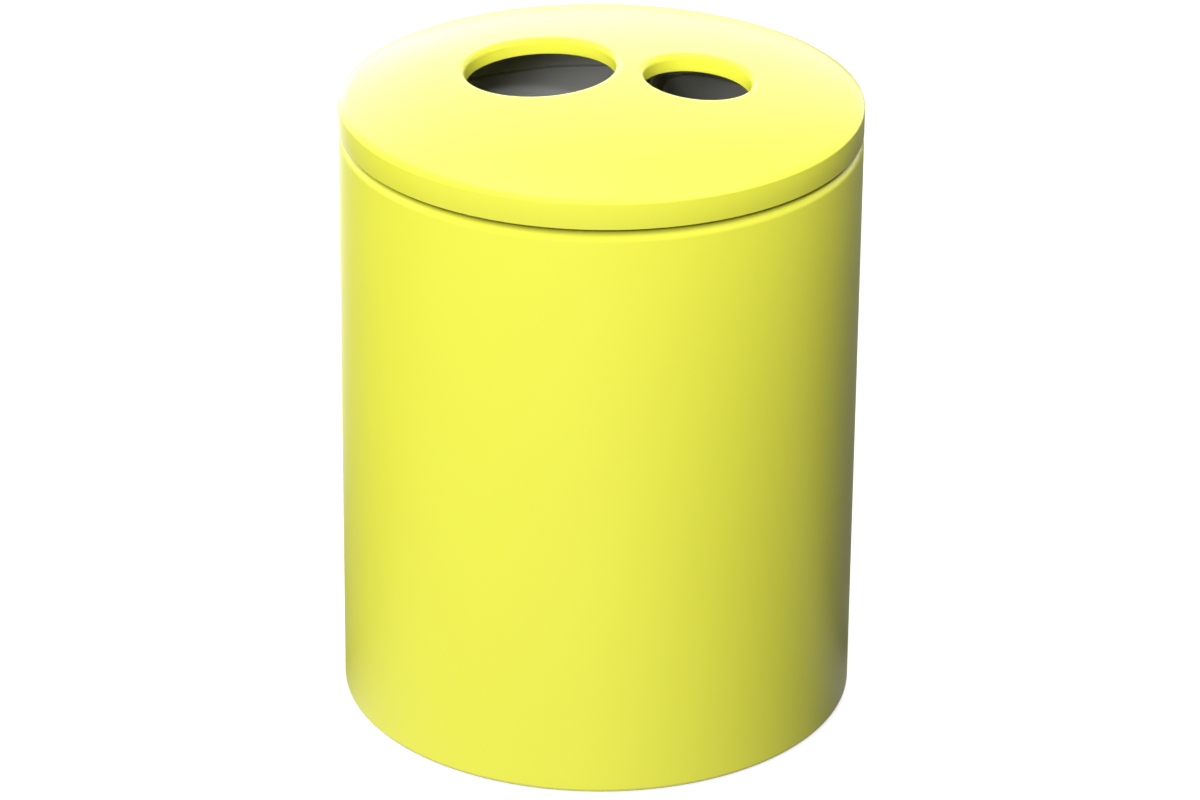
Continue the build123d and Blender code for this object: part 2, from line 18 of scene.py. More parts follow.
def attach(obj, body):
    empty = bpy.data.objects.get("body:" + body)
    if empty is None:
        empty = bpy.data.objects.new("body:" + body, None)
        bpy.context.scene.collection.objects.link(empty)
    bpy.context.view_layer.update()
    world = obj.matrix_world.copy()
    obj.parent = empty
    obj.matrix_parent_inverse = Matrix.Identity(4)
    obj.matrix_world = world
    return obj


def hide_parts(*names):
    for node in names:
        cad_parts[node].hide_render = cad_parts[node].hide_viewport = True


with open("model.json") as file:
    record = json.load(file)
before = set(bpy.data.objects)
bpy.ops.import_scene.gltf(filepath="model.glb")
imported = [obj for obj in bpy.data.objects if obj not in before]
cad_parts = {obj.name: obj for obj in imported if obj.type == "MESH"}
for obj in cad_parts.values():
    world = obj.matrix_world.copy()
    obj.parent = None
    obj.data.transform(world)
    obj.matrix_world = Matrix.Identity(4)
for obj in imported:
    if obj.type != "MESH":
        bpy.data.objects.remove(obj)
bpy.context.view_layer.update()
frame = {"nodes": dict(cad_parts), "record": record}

mm = 0.001

# %% [markdown]
# ## The stage
# A plain studio: a pale floor and a white surround, as in a catalogue. A long lens from far away keeps the
# upright sides almost parallel, so the camera stands more than six metres off and looks down by a quarter of
# a right angle or a little more. Its turns are given one by one: the yaw round the upright axis, the pitch
# below the horizon, and a slight roll. That is easier to read and to change than one rotation matrix.

# %% Camera
camera_yaw = radians(7.2307)
camera_pitch = radians(25.5006)
camera_roll = radians(0.5474)
camera_place = Vector((0.7269, -5.7183, 3.1187))

camera_data = bpy.data.cameras.new("studio_camera")
camera_data.sensor_width = 36
camera_data.lens = 161.17
camera_data.clip_end = 200
camera = bpy.data.objects.new("studio_camera", camera_data)
camera.matrix_world = (
    Matrix.Translation(camera_place)
    @ Matrix.Rotation(camera_yaw, 4, "Z")
    @ Matrix.Rotation(pi / 2 - camera_pitch, 4, "X")
    @ Matrix.Rotation(camera_roll, 4, "Z")
)
bpy.context.scene.collection.objects.link(camera)
bpy.context.scene.camera = camera
bpy.context.scene.view_settings.view_transform = "Standard"
print("camera at", [round(v, 3) for v in camera.matrix_world.translation])

# %% [markdown]
# ## Light
# The key is a small, far light in front and above. It is hard enough to throw a clear patch through the large
# opening onto the liner's wall. Two very large softboxes in front give most of the light. They stand far
# off, which keeps the tall side evenly lit from top to bottom. Two more wrap round the left side, one fills
# the rear, and a faint one hangs straight above. On the right there is only a small one close above the lid,
# so that side of the round body falls away into shade and shows its roundness. None of them is mirrored, as
# if they were polarised: what the coating mirrors is the room alone, so no hot streak runs along its rounded
# edges.

# %% Softboxes
bin_middle = Vector((0, 0, 0.4))


def softbox(name, azimuth, elevation, distance, size, power, tint=(1, 1, 1)):
    """A square area light that stands off the bin's middle, at degrees to the right of the front and up."""
    around, rise = radians(azimuth), radians(elevation)
    back = Vector((sin(around) * cos(rise), -cos(around) * cos(rise), sin(rise)))
    data = bpy.data.lights.new(name, "AREA")
    data.shape = "SQUARE"
    data.size = size
    data.energy = power
    data.color = tint
    light = bpy.data.objects.new(name, data)
    light.location = bin_middle + back * distance
    light.rotation_euler = back.to_track_quat("Z", "Y").to_euler()
    light.visible_camera = False
    light.visible_glossy = False
    bpy.context.scene.collection.objects.link(light)


softbox("key_light", 11.3, 35.8, 9.0, 0.4, 190)
softbox("low_front_softbox", -14, 18, 24.0, 6.6, 1680)
softbox("high_front_softbox", -6, 30, 24.0, 6.6, 2700)
softbox("left_softbox", -90, 28, 12.0, 4.0, 530)
softbox("rear_left_softbox", -115, 20, 9.0, 3.0, 150, tint=(0.95, 1.0, 1.0))
softbox("rear_softbox", 180, 25, 12.0, 4.0, 760)
softbox("right_top_softbox", 58, 62, 1.0, 0.5, 2.2)
softbox("top_softbox", 0, 85, 6.0, 3.0, 17)

# %% [markdown]
# ### What the coat mirrors
# A satin coat shows its studio: a bright wall gives a pale sheen and a dark one lets the colour through. One
# white surround would make every sheen alike. So the room has tones of grey, which change round the bin and
# with height, but only rays that a glossy surface sends out see them. A Light Path node tells those rays
# apart. A colour ramp over an angle holds the tones, because it is easy to read and to change.

# %% Shader helpers


def choose(nodes, links, output, first, second):
    """Mixes two shaders by a Light Path output: second where the ray is of that kind."""
    mix = nodes.new("ShaderNodeMixShader")
    ray = nodes.new("ShaderNodeLightPath")
    links.new(ray.outputs[output], mix.inputs["Fac"])
    links.new(first.outputs[0], mix.inputs[1])
    links.new(second.outputs[0], mix.inputs[2])
    return mix


def tone_ramp(nodes, links, value, tones):
    """A grey tone that follows a value through the given positions."""
    ramp = nodes.new("ShaderNodeValToRGB")
    while len(ramp.color_ramp.elements) < len(tones):
        ramp.color_ramp.elements.new(0.5)
    for element, (position, tone) in zip(ramp.color_ramp.elements, tones.items()):
        element.position = position
        element.color = (tone, tone, tone, 1)
    links.new(value, ramp.inputs["Fac"])
    return ramp.outputs["Color"]


def tones_around(nodes, links, tones):
    """A tone that changes round Z: 0 and 1 are the left, 0.25 the front, 0.5 the right and 0.75 the rear."""
    place = nodes.new("ShaderNodeTexCoord")
    turn = nodes.new("ShaderNodeTexGradient")
    turn.gradient_type = "RADIAL"
    links.new(place.outputs["Object"], turn.inputs["Vector"])
    return tone_ramp(nodes, links, turn.outputs["Color"], tones)


def tones_up(nodes, links, tones):
    """A tone that changes with the height above the horizon, from 0 there to 1 straight up."""
    place = nodes.new("ShaderNodeTexCoord")
    split = nodes.new("ShaderNodeSeparateXYZ")
    links.new(place.outputs["Object"], split.inputs["Vector"])
    return tone_ramp(nodes, links, split.outputs["Z"], tones)


print("shader helpers ready")

# %% [markdown]
# The surround is made of three backgrounds. The camera sees white. A glossy ray sees the tones: high ones
# behind the bin on the left and near the horizon, and lower ones further up. All other rays get a faint even
# light.

# %% World
wall_tones = {
    0.0: 1.0, 0.12: 1.1, 0.25: 1.0, 0.5: 0.9, 0.68: 1.6, 0.75: 1.65, 0.77: 2.0, 0.79: 2.3, 0.805: 2.65,
    0.83: 4.0, 0.87: 2.0, 0.91: 1.0,
}
height_tones = {
    0.0: 2.6, 0.055: 2.0, 0.12: 1.55, 0.2: 1.3, 0.3: 1.15, 0.45: 1.12, 0.59: 0.88, 0.68: 0.82, 0.76: 0.8,
    0.85: 1.7,
}
world = bpy.data.worlds.new("studio_world")
world.use_nodes = True
bpy.context.scene.world = world
nodes, links = world.node_tree.nodes, world.node_tree.links
nodes.clear()
faint, mirrored, seen = (nodes.new("ShaderNodeBackground") for _ in range(3))
for shader, strength in ((faint, 0.03), (mirrored, 1), (seen, 1)):
    shader.inputs["Color"].default_value = (1, 1, 1, 1)
    shader.inputs["Strength"].default_value = strength
by_height = nodes.new("ShaderNodeMix")
by_height.data_type = "RGBA"
by_height.blend_type = "MULTIPLY"
by_height.inputs["Factor"].default_value = 1
links.new(tones_around(nodes, links, wall_tones), by_height.inputs["A"])
links.new(tones_up(nodes, links, height_tones), by_height.inputs["B"])
links.new(by_height.outputs["Result"], mirrored.inputs["Color"])
unseen = choose(nodes, links, "Is Glossy Ray", faint, mirrored)
world_out = nodes.new("ShaderNodeOutputWorld")
links.new(choose(nodes, links, "Is Camera Ray", unseen, seen).outputs[0], world_out.inputs["Surface"])
print("world nodes", len(nodes))

# %% [markdown]
# The floor shows white to the camera. What the glossy coat mirrors is mostly floor, since the camera looks
# down, so there the floor carries the studio's own light and dark sides: bright cards in front and behind on
# the left, a dimmer one on the right and dark flags between them. A ramp round the bin holds them, as for
# the walls. To all other light the floor is nearly black, so that it doesn't fill the shaded side.

# %% Floor
floor_material = bpy.data.materials.new("pale_floor")
floor_material.use_nodes = True
nodes, links = floor_material.node_tree.nodes, floor_material.node_tree.links
nodes.clear()
lit = nodes.new("ShaderNodeBsdfDiffuse")
lit.inputs["Color"].default_value = (0.5, 0.5, 0.5, 1)
glow = nodes.new("ShaderNodeEmission")
glow.inputs["Strength"].default_value = 0.75
pale = nodes.new("ShaderNodeAddShader")
links.new(lit.outputs[0], pale.inputs[0])
links.new(glow.outputs[0], pale.inputs[1])
dull = nodes.new("ShaderNodeBsdfDiffuse")
dull.inputs["Color"].default_value = (0.03, 0.03, 0.03, 1)
cards = nodes.new("ShaderNodeEmission")
floor_tones = {
    0.0: 0.15, 0.04: 0.45, 0.075: 0.84, 0.12: 1.15, 0.25: 2.05, 0.34: 1.1, 0.4: 0.55, 0.46: 0.36, 0.5: 0.47,
    0.53: 0.38, 0.55: 0.18, 0.58: 0.3, 0.6: 0.26, 0.7: 0.32, 0.73: 0.4, 0.79: 0.9, 0.815: 2.4, 0.84: 2.2,
    0.87: 1.1, 0.91: 0.4, 0.95: 0.25,
}
links.new(tones_around(nodes, links, floor_tones), cards.inputs["Color"])
surface_out = nodes.new("ShaderNodeOutputMaterial")
unseen_floor = choose(nodes, links, "Is Glossy Ray", dull, cards)
whole_floor = choose(nodes, links, "Is Camera Ray", unseen_floor, pale)
links.new(whole_floor.outputs[0], surface_out.inputs["Surface"])

floor_radius = 45
bm = bmesh.new()
bmesh.ops.create_circle(bm, cap_ends=True, radius=floor_radius, segments=64)
floor_mesh = bpy.data.meshes.new("studio_floor")
bm.to_mesh(floor_mesh)
bm.free()
floor_mesh.materials.append(floor_material)
studio_floor = bpy.data.objects.new("studio_floor", floor_mesh)
bpy.context.scene.collection.objects.link(studio_floor)
print("floor of radius", floor_radius, "with", len(floor_tones), "tones")

# %% [markdown]
# ## Finishes
# Most finishes here differ by a fine surface grain: the orange peel of powder coat, the spark-eroded texture
# of a mould, the drag lines of a brush. One node group makes such a grain as a height between 0 and 1 and as
# a bump normal, from object coordinates in metres, so that a grain has its real size on every piece.

# %% Grain group


def grain_group():
    """Node group: fine noise of a given size, stretched by a scale vector, as a value and as a normal."""
    group = bpy.data.node_groups.new("fine_grain", "ShaderNodeTree")
    face = group.interface
    face.new_socket("Stretch", in_out="INPUT", socket_type="NodeSocketVector").default_value = (1, 1, 1)
    face.new_socket("Scale", in_out="INPUT", socket_type="NodeSocketFloat").default_value = 600
    face.new_socket("Detail", in_out="INPUT", socket_type="NodeSocketFloat").default_value = 2
    face.new_socket("Depth", in_out="INPUT", socket_type="NodeSocketFloat").default_value = 0.0001
    face.new_socket("Height", in_out="OUTPUT", socket_type="NodeSocketFloat")
    face.new_socket("Normal", in_out="OUTPUT", socket_type="NodeSocketVector")
    nodes, links = group.nodes, group.links
    given = nodes.new("NodeGroupInput")
    result = nodes.new("NodeGroupOutput")
    place = nodes.new("ShaderNodeTexCoord")
    stretch = nodes.new("ShaderNodeVectorMath")
    stretch.operation = "MULTIPLY"
    noise = nodes.new("ShaderNodeTexNoise")
    noise.inputs["Roughness"].default_value = 0.55
    bump = nodes.new("ShaderNodeBump")
    bump.inputs["Strength"].default_value = 1
    links.new(place.outputs["Object"], stretch.inputs[0])
    links.new(given.outputs["Stretch"], stretch.inputs[1])
    links.new(stretch.outputs[0], noise.inputs["Vector"])
    links.new(given.outputs["Scale"], noise.inputs["Scale"])
    links.new(given.outputs["Detail"], noise.inputs["Detail"])
    links.new(noise.outputs["Fac"], bump.inputs["Height"])
    links.new(given.outputs["Depth"], bump.inputs["Distance"])
    links.new(noise.outputs["Fac"], result.inputs["Height"])
    links.new(bump.outputs["Normal"], result.inputs["Normal"])
    return group


fine_grain = grain_group()
print("group", fine_grain.name, [s.name for s in fine_grain.interface.items_tree])

# %% [markdown]
# A finish is then a Principled shader whose colour and roughness both drift a little between two values.
# Real coatings are never even: film thickness, handling and mould flow show as slow changes that the eye
# reads as material rather than as pattern, so the drift is kept just below what one would notice.

# %% Finish builder


def finish_material(name, colours, roughness, grain, drift_scale, metallic=0.0, stretch=(1, 1, 1)):
    """A material with a drift between two colours and two roughnesses, and a grain (scale, detail, depth)."""
    material = bpy.data.materials.new(name)
    material.use_nodes = True
    nodes, links = material.node_tree.nodes, material.node_tree.links
    shader = nodes["Principled BSDF"]
    shader.inputs["Metallic"].default_value = metallic
    surface = nodes.new("ShaderNodeGroup")
    surface.node_tree = fine_grain
    surface.inputs["Stretch"].default_value = stretch
    surface.inputs["Scale"].default_value = grain[0]
    surface.inputs["Detail"].default_value = grain[1]
    surface.inputs["Depth"].default_value = grain[2]
    place = nodes.new("ShaderNodeTexCoord")
    drift = nodes.new("ShaderNodeTexNoise")
    drift.inputs["Scale"].default_value = drift_scale
    drift.inputs["Detail"].default_value = 3
    links.new(place.outputs["Object"], drift.inputs["Vector"])
    tone = nodes.new("ShaderNodeMix")
    tone.data_type = "RGBA"
    tone.inputs["A"].default_value = (*colours[0], 1)
    tone.inputs["B"].default_value = (*colours[1], 1)
    links.new(drift.outputs["Fac"], tone.inputs["Factor"])
    links.new(tone.outputs["Result"], shader.inputs["Base Color"])
    half_drift = nodes.new("ShaderNodeMath")
    half_drift.operation = "MULTIPLY"
    half_drift.inputs[1].default_value = 0.5
    links.new(drift.outputs["Fac"], half_drift.inputs[0])
    blend = nodes.new("ShaderNodeMath")
    blend.operation = "MULTIPLY_ADD"
    blend.inputs[1].default_value = 0.5
    links.new(surface.outputs["Height"], blend.inputs[0])
    links.new(half_drift.outputs[0], blend.inputs[2])
    gloss = nodes.new("ShaderNodeMapRange")
    gloss.inputs["To Min"].default_value = roughness[0]
    gloss.inputs["To Max"].default_value = roughness[1]
    links.new(blend.outputs[0], gloss.inputs["Value"])
    links.new(gloss.outputs["Result"], shader.inputs["Roughness"])
    links.new(surface.outputs["Normal"], shader.inputs["Normal"])
    return material


print("finish builder ready")

# %% [markdown]
# Powder gathers on an edge and flows there while it bakes, so the top of the lid turns over softly towards
# its rim and its two openings. Pressed sheet would show the same slow roll. It is too shallow to be worth
# modelling, so a node group leans the normal towards each edge over the last few millimetres. Its places and
# lengths are in metres, as Object coordinates are, and it leaves the skirt below the rim alone.

# %% Soft edges
lid_edges = [(0.0, 0.304, 0.013, 0.38), (-0.0725, 0.0925, 0.006, -0.25), (0.112, 0.0675, 0.006, -0.25)]
skirt_height, top_height = 0.745, 0.756


def soft_edge_group():
    """Node group: a normal that leans towards the lid's edges, given as (x, radius, reach, outward lean)."""
    group = bpy.data.node_groups.new("soft_edges", "ShaderNodeTree")
    group.interface.new_socket("Normal", in_out="INPUT", socket_type="NodeSocketVector")
    group.interface.new_socket("Normal", in_out="OUTPUT", socket_type="NodeSocketVector")
    nodes, links = group.nodes, group.links
    given, result = nodes.new("NodeGroupInput"), nodes.new("NodeGroupOutput")

    def vector(operation, first, second=None):
        """A vector math node; a plain value is set on its socket and anything else is linked."""
        node = nodes.new("ShaderNodeVectorMath")
        node.operation = operation
        for socket, value in zip(node.inputs, (first, second)):
            if isinstance(value, tuple):
                socket.default_value = value
            elif value is not None:
                links.new(value, socket)
        return node

    def fade(value, low, high, peak):
        """A smooth rise from nothing at low to the peak at high."""
        node = nodes.new("ShaderNodeMapRange")
        node.interpolation_type = "SMOOTHSTEP"
        node.inputs["From Min"].default_value = low
        node.inputs["From Max"].default_value = high
        node.inputs["To Max"].default_value = peak
        links.new(value, node.inputs["Value"])
        return node.outputs["Result"]

    place = nodes.new("ShaderNodeTexCoord").outputs["Object"]
    split = nodes.new("ShaderNodeSeparateXYZ")
    links.new(place, split.inputs["Vector"])
    top = fade(split.outputs["Z"], skirt_height, top_height, 1)
    lean = None
    for x, radius, reach, outward in lid_edges:
        away = vector("MULTIPLY", vector("SUBTRACT", place, (x, 0, 0)).outputs["Vector"], (1, 1, 0))
        distance = vector("LENGTH", away.outputs["Vector"]).outputs["Value"]
        share = vector("SCALE", vector("NORMALIZE", away.outputs["Vector"]).outputs["Vector"])
        start = radius - reach if outward > 0 else radius + reach
        links.new(fade(distance, start, radius, outward), share.inputs["Scale"])
        lean = vector("ADD", share.outputs["Vector"], lean or (0, 0, 0)).outputs["Vector"]
    whole = vector("SCALE", lean)
    links.new(top, whole.inputs["Scale"])
    turned = nodes.new("ShaderNodeVectorTransform")
    turned.convert_from = "OBJECT"
    turned.convert_to = "WORLD"
    links.new(whole.outputs["Vector"], turned.inputs["Vector"])
    leaning = vector("ADD", given.outputs["Normal"], turned.outputs["Vector"])
    links.new(vector("NORMALIZE", leaning.outputs["Vector"]).outputs["Vector"], result.inputs["Normal"])
    return group


soft_edges = soft_edge_group()
print("group", soft_edges.name, "edges", len(lid_edges))

# %% [markdown]
# ### Powder coat
# The body and lid are sprayed with polyester powder and baked. The film is thick and slightly wavy, an orange
# peel with waves of about two millimetres, and has a satin gloss. Its normal passes through the group above,
# which rolls the lid's edges. In a gap of a few millimetres, such as the one under the lid, shade is painted
# into the colour: an Ambient Occlusion node with a short reach finds such places and darkens the colour there.

# %% Powder coat
powder_coat = finish_material(
    "yellow_powder_coat",
    colours=((0.885, 0.885, 0.066), (0.905, 0.905, 0.074)),
    roughness=(0.26, 0.36),
    grain=(420, 2, 0.00006),
    drift_scale=6,
)
# Reach of the painted shade in gaps and recesses, in metres.
gap_shade_reach = 0.012
nodes, links = powder_coat.node_tree.nodes, powder_coat.node_tree.links
coat_normal = nodes["Principled BSDF"].inputs["Normal"]
rolled = nodes.new("ShaderNodeGroup")
rolled.node_tree = soft_edges
links.new(coat_normal.links[0].from_socket, rolled.inputs["Normal"])
links.new(rolled.outputs["Normal"], coat_normal)
coat_colour = nodes["Principled BSDF"].inputs["Base Color"]
# Painted shade: ambient occlusion darkens the coat's colour in gaps and recesses, such as under the lid's rim.
painted_gap_shade = nodes.new("ShaderNodeAmbientOcclusion")
painted_gap_shade.inputs["Distance"].default_value = gap_shade_reach
links.new(coat_colour.links[0].from_socket, painted_gap_shade.inputs["Color"])
links.new(painted_gap_shade.outputs["Color"], coat_colour)
print(powder_coat.name, len(nodes), "nodes")

# %% [markdown]
# ### Plastics and rubber
# The liners are moulded in a grey polyethylene with a faintly pebbled skin, which looks much darker in the
# shade under the lid. The knob has a finer and sharper texture, and the feet and lid buffers are plain matt
# rubber.

# %% Plastics and rubber
liner_plastic = finish_material(
    "grey_liner_plastic",
    colours=((0.385, 0.385, 0.385), (0.415, 0.415, 0.413)),
    roughness=(0.26, 0.38),
    grain=(900, 3, 0.00008),
    drift_scale=5,
)
knob_plastic = finish_material(
    "grained_knob_plastic",
    colours=((0.014, 0.014, 0.015), (0.022, 0.022, 0.023)),
    roughness=(0.42, 0.58),
    grain=(2600, 2, 0.00007),
    drift_scale=30,
)
rubber = finish_material(
    "matt_rubber",
    colours=((0.018, 0.018, 0.018), (0.030, 0.029, 0.028)),
    roughness=(0.62, 0.80),
    grain=(1500, 4, 0.00008),
    drift_scale=40,
)
print([material.name for material in (liner_plastic, knob_plastic, rubber)])

# %% [markdown]
# ### Metals
# The zinc-plated base plate, rings, rail and nuts have a soft bluish grey with cloudy patches. The hinge,
# latch and handles are brushed stainless: the drag lines run along X, so their noise is stretched along that
# axis.

# %% Metals
zinc_steel = finish_material(
    "zinc_plated_steel",
    colours=((0.52, 0.54, 0.56), (0.66, 0.67, 0.66)),
    roughness=(0.30, 0.48),
    grain=(700, 3, 0.00003),
    drift_scale=45,
    metallic=1.0,
)
stainless_steel = finish_material(
    "brushed_stainless",
    colours=((0.56, 0.56, 0.55), (0.64, 0.63, 0.61)),
    roughness=(0.22, 0.40),
    grain=(1800, 3, 0.00002),
    drift_scale=25,
    metallic=1.0,
    stretch=(0.05, 1, 1),
)
finishes = {
    "powder_coat": powder_coat,
    "liner_plastic": liner_plastic,
    "zinc_steel": zinc_steel,
    "stainless_steel": stainless_steel,
    "rubber": rubber,
    "knob_plastic": knob_plastic,
}
print("finishes", sorted(finishes))

# %% [markdown]
# ## Making pieces
# Each piece is one object that rides on the body its node belongs to and takes that node's place. The
# record says which finish slot a node has, so no list of slots is kept here.

# %% Piece builder
body_of = {node: body for body, members in frame["record"]["behaviour"]["bodies"].items() for node in members}
slot_of = {part["node"]: part["material_slot"] for part in frame["record"]["subparts"]}


def add_piece(name, bm, node, sharp=35):
    """Turns a bmesh into a smooth shaded object that stands for a node, and hands it its finish."""
    bmesh.ops.recalc_face_normals(bm, faces=bm.faces)
    mesh = bpy.data.meshes.new(name)
    for face in bm.faces:
        face.smooth = True
    for edge in bm.edges:
        edge.smooth = edge.calc_face_angle(0) < radians(sharp)
    bm.to_mesh(mesh)
    bm.free()
    mesh.materials.append(finishes[slot_of[node]])
    piece = bpy.data.objects.new(name, mesh)
    bpy.context.scene.collection.objects.link(piece)
    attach(piece, body_of[node])
    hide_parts(node)
    return piece


print(len(slot_of), "nodes have a slot")

# %% [markdown]
# A sheet-metal section is drawn as a closed outline with a radius at each corner, because bent or sheared
# sheet never has a sharp edge. The outline is then spun round the axis.

# %% Rounded outlines


def rounded_outline(corners, segments=6, closed=True):
    """Points along an outline given as (x, z, radius) in millimetres, with each corner turned into an arc."""
    points = []
    count = len(corners)
    for index, (x, z, radius) in enumerate(corners):
        here = Vector((x, z))
        if radius == 0 or (not closed and index in (0, count - 1)):
            points.append(here)
            continue
        before = (Vector(corners[index - 1][:2]) - here).normalized()
        after = (Vector(corners[(index + 1) % count][:2]) - here).normalized()
        half_angle = before.angle(after) / 2
        centre = here + (before + after).normalized() * radius / sin(half_angle)
        first = here + before * radius / tan(half_angle) - centre
        last = here + after * radius / tan(half_angle) - centre
        sweep = first.angle_signed(last)
        for step in range(segments + 1):
            points.append(centre + Matrix.Rotation(-sweep * step / segments, 2) @ first)
    return points


def spun(points, steps=192, closed=True):
    """A bmesh of an outline in the XZ plane, in millimetres, spun once round Z."""
    bm = bmesh.new()
    verts = [bm.verts.new((p.x * mm, 0, p.y * mm)) for p in points]
    edges = [bm.edges.new(pair) for pair in zip(verts, verts[1:] + (verts[:1] if closed else []))]
    bmesh.ops.spin(
        bm, geom=verts + edges, axis=(0, 0, 1), cent=(0, 0, 0), angle=2 * pi, steps=steps, use_merge=True
    )
    return bm


square = [(0, 0, 0), (10, 0, 3), (10, 10, 0), (0, 10, 0)]
print("square with one round corner:", len(rounded_outline(square)), "points")

# %% [markdown]
# ## The body
# The body is one sheet rolled to a drum, seam welded and ground flush, with its top edge turned in over a
# generous radius and its bottom edge over a small one. The spun outline is the sheet itself, 2.5 mm thick.

# %% Body shell
body_radius = 305
shell_wall = 2.5
shell_low, shell_high = 6, 719
mouth_radius = 286
base_inner = 281
cut_edge = 0.7
body_steps = 256

body_outline = rounded_outline([
    (base_inner, shell_low, cut_edge),
    (body_radius, shell_low, 6),
    (body_radius, shell_high, 12),
    (mouth_radius, shell_high, cut_edge),
    (mouth_radius, shell_high - shell_wall, cut_edge),
    (body_radius - shell_wall, shell_high - shell_wall, 9.5),
    (body_radius - shell_wall, shell_low + shell_wall, 3.5),
    (base_inner, shell_low + shell_wall, cut_edge),
], segments=8)
body_skin = add_piece("body_skin", spun(body_outline, steps=body_steps), "body_shell")
print("body skin", len(body_skin.data.polygons), "faces")

# %% [markdown]
# Inside the mouth a ledge ring carries the liners' rims. It is a strip rolled and bent to an angle, welded
# to the wall.

# %% Ledge ring
ledge_z = 683
ledge_inner, ledge_outer = 276, 302.5
ledge_wall, ledge_drop = 3, 28
ledge_outline = rounded_outline([
    (ledge_inner, ledge_z - ledge_wall, cut_edge),
    (ledge_outer - ledge_wall, ledge_z - ledge_wall, 0.8),
    (ledge_outer - ledge_wall, ledge_z - ledge_drop, cut_edge),
    (ledge_outer, ledge_z - ledge_drop, cut_edge),
    (ledge_outer, ledge_z, 3),
    (ledge_inner, ledge_z, cut_edge),
])
ledge_skin = add_piece("ledge_angle", spun(ledge_outline), "ledge_ring")
print("ledge", len(ledge_skin.data.polygons), "faces")

# %% [markdown]
# ## The lid
# The lid is a pressed dome with a straight skirt. Its crown is part of a large sphere, and a tighter arc
# leads from it to a small radius at the rim. The two openings are drawn down into collars with a soft lip.
# The outline of dome and skirt outside the crown is spun. The crown itself has two holes, so it is split
# by a line between them: in each half, quads run from the hole straight to the half's own boundary. That
# keeps the flow even, and a reflection glides over the dome with no ripple.

# %% Dome profile
lid_bottom, rim_z, apex_z = 723.5, 754.5, 796.5
crown_radius, crown_reach = 1300, 190
lid_wall = 3


def crown_z(reach):
    """Height of the crown's outer surface at a distance from the middle."""
    return apex_z - crown_radius + sqrt(crown_radius**2 - reach**2)


slope = asin(crown_reach / crown_radius)
start = Vector((crown_reach, crown_z(crown_reach)))
to_rim = Vector((body_radius, rim_z)) - start
inward = Vector((-sin(slope), -cos(slope)))
shoulder_arc_radius = to_rim.length_squared / (2 * to_rim.dot(inward))
shoulder_centre = start + inward * shoulder_arc_radius
print("shoulder arc of radius", round(shoulder_arc_radius, 1), "round", [round(v, 1) for v in shoulder_centre])


def dome_z(reach):
    """Height of the dome's outer surface at a distance from the middle, out to the rim."""
    if reach <= crown_reach:
        return crown_z(reach)
    return shoulder_centre.y + sqrt(shoulder_arc_radius**2 - (reach - shoulder_centre.x) ** 2)


print("dome heights", {reach: round(dome_z(reach), 1) for reach in (0, crown_reach, body_radius)})

# %% [markdown]
# The lid starts as its outer surface only. Each ring of vertices is extruded from the one before it and moved
# to its place, which is how a spun or drawn sheet is built up here and keeps every face a clean quad.

# %% Ring extrusion
spin_steps = 192
seam_radius = 186


def ring_of(bm, points):
    """A closed ring of vertices and edges through points, in millimetres."""
    verts = [bm.verts.new(Vector(p) * mm) for p in points]
    for pair in zip(verts, verts[1:] + verts[:1]):
        bm.edges.new(pair)
    return verts


def extrude_ring(bm, ring, points):
    """Extrudes a closed ring of vertices and moves the new one onto points, in millimetres."""
    pairs = zip(ring, ring[1:] + ring[:1])
    edges = [next(e for e in a.link_edges if e.other_vert(a) is b) for a, b in pairs]
    made = bmesh.ops.extrude_edge_only(bm, edges=edges)["geom"]
    new_verts = {v for v in made if isinstance(v, bmesh.types.BMVert)}
    grown = [next(e.other_vert(v) for e in v.link_edges if e.other_vert(v) in new_verts) for v in ring]
    for vert, point in zip(grown, points):
        vert.co = Vector(point) * mm
    return grown


print("spin steps", spin_steps, "seam radius", seam_radius)

# %% [markdown]
# Dome, rim and skirt outside the crown are one spun outline. The crown's two halves follow, each from its own
# boundary inwards to its hole, over the lip and down the collar. An opening is punched and drawn square to
# the crown, so its collar leans outwards a little and its rings are circles round that leaning axis. The line
# between the halves passes through two vertices of the spun seam, so the parts weld without a gap.

# %% Dome, rim and skirt
dome_step, dome_rings = 4, 29
dome_reaches = [seam_radius + dome_step * ring for ring in range(dome_rings)]
lid_corners = [(reach, dome_z(reach), 0) for reach in dome_reaches]
lid_corners += [(body_radius, rim_z, 2), (body_radius, lid_bottom, 0)]
lid = spun(rounded_outline(lid_corners, closed=False), steps=spin_steps, closed=False)
print("outside the crown", len(lid.faces), "faces")

# %% Crown helpers
split_step = 43
chord_count = 60
crown_middle = Vector((0, 0, apex_z - crown_radius))


def crown_boundary(side):
    """The boundary of one half of the crown, anticlockwise: its arc of the seam, then the dividing line."""
    first = split_step if side < 0 else -split_step
    count = spin_steps - 2 * split_step if side < 0 else 2 * split_step
    angles = [2 * pi * (first + step) / spin_steps for step in range(count + 1)]
    arc = [Vector((seam_radius * cos(a), seam_radius * sin(a))) for a in angles]
    return arc + [arc[-1].lerp(arc[0], step / chord_count) for step in range(1, chord_count)]


def circle_round_axis(hole_x, angles, reach, height):
    """Points round an opening's axis, at a reach from it and a height along it from the crown's middle."""
    axis = (Vector((hole_x, 0, crown_z(hole_x))) - crown_middle).normalized()
    across = Vector((axis.z, 0, -axis.x))
    rear = Vector((0, 1, 0))
    return [crown_middle + axis * height + (across * cos(a) + rear * sin(a)) * reach for a in angles]


print("points round the halves", [len(crown_boundary(side)) for side in (-1, 1)])

